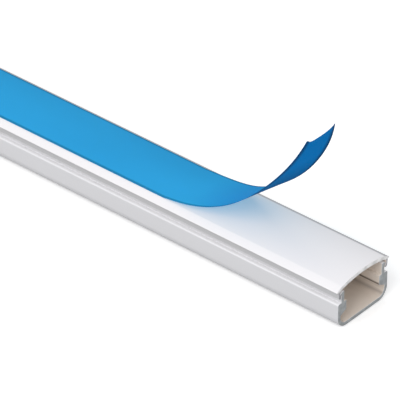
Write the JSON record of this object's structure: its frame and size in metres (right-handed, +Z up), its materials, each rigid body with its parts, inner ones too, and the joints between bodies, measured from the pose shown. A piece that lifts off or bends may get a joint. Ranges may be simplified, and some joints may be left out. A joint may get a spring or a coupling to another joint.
{
  "type": "cord cover raceway",
  "caption": "Straight snap-fit cable channel with a domed, bevelled cover and a protective film that curls up off one end.",
  "frame": {"origin": "centre of the base's flat underside, halfway along its length", "axes": "+X along the length, towards the end where the film curls up; +Y across; +Z up, from the underside to the cover"},
  "size_m": [0.4, 0.0153, 0.0347],
  "materials": {
    "base_pvc": "satin extruded PVC",
    "cover_pvc": "semi-gloss extruded PVC",
    "film_pe": "translucent polyethylene film"
  },
  "bodies": {
    "base": {"base": "base_pvc"},
    "cover": {"cover": "cover_pvc", "film": "film_pe"}
  },
  "joints": [
    {"name": "cover_slide", "type": "slide", "parent": "base", "child": "cover", "axis": [1, 0, 0], "range_m": [-0.38, 0.38]}
  ]
}
